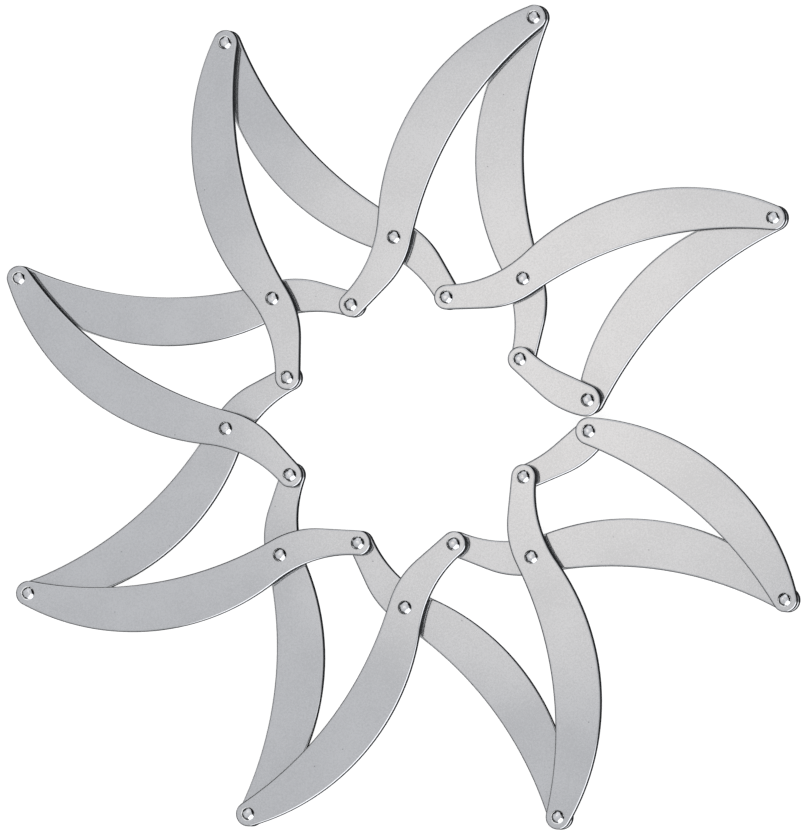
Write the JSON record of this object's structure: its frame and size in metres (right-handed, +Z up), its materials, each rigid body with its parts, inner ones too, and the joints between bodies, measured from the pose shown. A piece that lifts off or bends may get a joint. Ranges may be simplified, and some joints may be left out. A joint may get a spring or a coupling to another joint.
{
  "type": "expanding trivet",
  "caption": "Folding table trivet of curved flat steel arms riveted in two layers into a scissor chain, which opens from a narrow fan into a star-shaped ring that carries a hot pot.",
  "frame": {"origin": "on the table plane, under the middle of the opened trivet's bounding box", "axes": "+Z up, out of the rivet heads that carry the pot; +X toward the place where the chain's two ends meet"},
  "size_m": [0.2014, 0.2082, 0.0074],
  "materials": {
    "satin_steel": "fine satin, softened edges",
    "polished_rivet": "bright polished domed head"
  },
  "bodies": {
    "lower_arm_1": {"lower_arm_1": "satin_steel", "crossing_rivet_1": "polished_rivet", "tip_rivet_2": "polished_rivet", "inner_rivet_foot_1": "polished_rivet"},
    "upper_arm_1": {"upper_arm_1": "satin_steel", "inner_rivet_head_2": "polished_rivet"},
    "lower_arm_2": {"lower_arm_2": "satin_steel", "crossing_rivet_2": "polished_rivet", "tip_rivet_3": "polished_rivet", "inner_rivet_foot_2": "polished_rivet"},
    "upper_arm_2": {"upper_arm_2": "satin_steel", "inner_rivet_head_3": "polished_rivet"},
    "lower_arm_3": {"lower_arm_3": "satin_steel", "crossing_rivet_3": "polished_rivet", "tip_rivet_4": "polished_rivet", "inner_rivet_foot_3": "polished_rivet"},
    "upper_arm_3": {"upper_arm_3": "satin_steel", "inner_rivet_head_4": "polished_rivet"},
    "lower_arm_4": {"lower_arm_4": "satin_steel", "crossing_rivet_4": "polished_rivet", "tip_rivet_5": "polished_rivet", "inner_rivet_foot_4": "polished_rivet"},
    "upper_arm_4": {"upper_arm_4": "satin_steel", "inner_rivet_head_5": "polished_rivet"},
    "lower_arm_5": {"lower_arm_5": "satin_steel", "crossing_rivet_5": "polished_rivet", "tip_rivet_6": "polished_rivet", "inner_rivet_foot_5": "polished_rivet"},
    "upper_arm_5": {"upper_arm_5": "satin_steel", "inner_rivet_head_6": "polished_rivet"},
    "lower_arm_6": {"lower_arm_6": "satin_steel", "crossing_rivet_6": "polished_rivet", "tip_rivet_7": "polished_rivet", "inner_rivet_foot_6": "polished_rivet"},
    "upper_arm_6": {"upper_arm_6": "satin_steel", "inner_rivet_head_7": "polished_rivet"},
    "lower_arm_7": {"lower_arm_7": "satin_steel", "crossing_rivet_7": "polished_rivet", "tip_rivet_8": "polished_rivet", "inner_rivet_foot_7": "polished_rivet"},
    "upper_arm_7": {"upper_arm_7": "satin_steel", "inner_rivet_head_8": "polished_rivet"},
    "lower_end_arm": {"lower_end_arm": "satin_steel", "end_rivet_1": "polished_rivet", "tip_rivet_1": "polished_rivet"},
    "upper_end_link": {"upper_end_link": "satin_steel", "inner_rivet_head_1": "polished_rivet"},
    "upper_end_arm": {"upper_end_arm": "satin_steel"},
    "lower_end_link": {"lower_end_link": "satin_steel", "end_rivet_2": "polished_rivet", "inner_rivet_foot_8": "polished_rivet"}
  },
  "joints": [
    {"name": "crossing_pivot_4", "type": "hinge", "parent": "lower_arm_4", "child": "upper_arm_4", "pos_m": [-0.045, 0, 0], "axis": [0, 0, 1], "range_deg": [0, 53.5]},
    {"name": "tip_pivot_4", "type": "hinge", "parent": "upper_arm_4", "child": "lower_arm_3", "pos_m": [-0.09753, 0.03996, 0], "axis": [0, 0, 1], "range_deg": [-20.9, 0]},
    {"name": "crossing_pivot_3", "type": "hinge", "parent": "lower_arm_3", "child": "upper_arm_3", "pos_m": [-0.03196, 0.03244, 0], "axis": [0, 0, 1], "range_deg": [0, 53.5]},
    {"name": "tip_pivot_3", "type": "hinge", "parent": "upper_arm_3", "child": "lower_arm_2", "pos_m": [-0.04222, 0.09764, 0], "axis": [0, 0, 1], "range_deg": [-20.9, 0]},
    {"name": "crossing_pivot_2", "type": "hinge", "parent": "lower_arm_2", "child": "upper_arm_2", "pos_m": [-0.0001, 0.04683, 0], "axis": [0, 0, 1], "range_deg": [0, 53.5]},
    {"name": "tip_pivot_2", "type": "hinge", "parent": "upper_arm_2", "child": "lower_arm_1", "pos_m": [0.03762, 0.10099, 0], "axis": [0, 0, 1], "range_deg": [-20.9, 0]},
    {"name": "crossing_pivot_1", "type": "hinge", "parent": "lower_arm_1", "child": "upper_arm_1", "pos_m": [0.03286, 0.03516, 0], "axis": [0, 0, 1], "range_deg": [0, 53.5]},
    {"name": "tip_pivot_1", "type": "hinge", "parent": "upper_arm_1", "child": "lower_end_arm", "pos_m": [0.09757, 0.04814, 0], "axis": [0, 0, 1], "range_deg": [-20.9, 0]},
    {"name": "end_pivot_1", "type": "hinge", "parent": "lower_end_arm", "child": "upper_end_link", "pos_m": [0.04857, 0.00393, 0], "axis": [0, 0, 1], "range_deg": [0, 53.5]},
    {"name": "tip_pivot_5", "type": "hinge", "parent": "lower_arm_4", "child": "upper_arm_5", "pos_m": [-0.09753, -0.03995, 0], "axis": [0, 0, 1], "range_deg": [0, 20.9]},
    {"name": "crossing_pivot_5", "type": "hinge", "parent": "upper_arm_5", "child": "lower_arm_5", "pos_m": [-0.03196, -0.03244, 0], "axis": [0, 0, 1], "range_deg": [-53.5, 0]},
    {"name": "tip_pivot_6", "type": "hinge", "parent": "lower_arm_5", "child": "upper_arm_6", "pos_m": [-0.04222, -0.09763, 0], "axis": [0, 0, 1], "range_deg": [0, 20.9]},
    {"name": "crossing_pivot_6", "type": "hinge", "parent": "upper_arm_6", "child": "lower_arm_6", "pos_m": [-0.0001, -0.04682, 0], "axis": [0, 0, 1], "range_deg": [-53.5, 0]},
    {"name": "tip_pivot_7", "type": "hinge", "parent": "lower_arm_6", "child": "upper_arm_7", "pos_m": [0.03762, -0.10098, 0], "axis": [0, 0, 1], "range_deg": [0, 20.9]},
    {"name": "crossing_pivot_7", "type": "hinge", "parent": "upper_arm_7", "child": "lower_arm_7", "pos_m": [0.03286, -0.03515, 0], "axis": [0, 0, 1], "range_deg": [-53.5, 0]},
    {"name": "tip_pivot_8", "type": "hinge", "parent": "lower_arm_7", "child": "upper_end_arm", "pos_m": [0.09757, -0.04814, 0], "axis": [0, 0, 1], "range_deg": [0, 20.9]},
    {"name": "end_pivot_2", "type": "hinge", "parent": "upper_end_arm", "child": "lower_end_link", "pos_m": [0.04857, -0.00392, 0], "axis": [0, 0, 1], "range_deg": [-53.5, 0]}
  ],
  "couplings": [
    {"joint": "tip_pivot_4", "follows": "crossing_pivot_4", "ratio": -0.39},
    {"joint": "crossing_pivot_3", "follows": "crossing_pivot_4", "ratio": 1},
    {"joint": "tip_pivot_3", "follows": "crossing_pivot_4", "ratio": -0.39},
    {"joint": "crossing_pivot_2", "follows": "crossing_pivot_4", "ratio": 1},
    {"joint": "tip_pivot_2", "follows": "crossing_pivot_4", "ratio": -0.39},
    {"joint": "crossing_pivot_1", "follows": "crossing_pivot_4", "ratio": 1},
    {"joint": "tip_pivot_1", "follows": "crossing_pivot_4", "ratio": -0.39},
    {"joint": "end_pivot_1", "follows": "crossing_pivot_4", "ratio": 1},
    {"joint": "tip_pivot_5", "follows": "crossing_pivot_4", "ratio": 0.39},
    {"joint": "crossing_pivot_5", "follows": "crossing_pivot_4", "ratio": -1},
    {"joint": "tip_pivot_6", "follows": "crossing_pivot_4", "ratio": 0.39},
    {"joint": "crossing_pivot_6", "follows": "crossing_pivot_4", "ratio": -1},
    {"joint": "tip_pivot_7", "follows": "crossing_pivot_4", "ratio": 0.39},
    {"joint": "crossing_pivot_7", "follows": "crossing_pivot_4", "ratio": -1},
    {"joint": "tip_pivot_8", "follows": "crossing_pivot_4", "ratio": 0.39},
    {"joint": "end_pivot_2", "follows": "crossing_pivot_4", "ratio": -1}
  ]
}
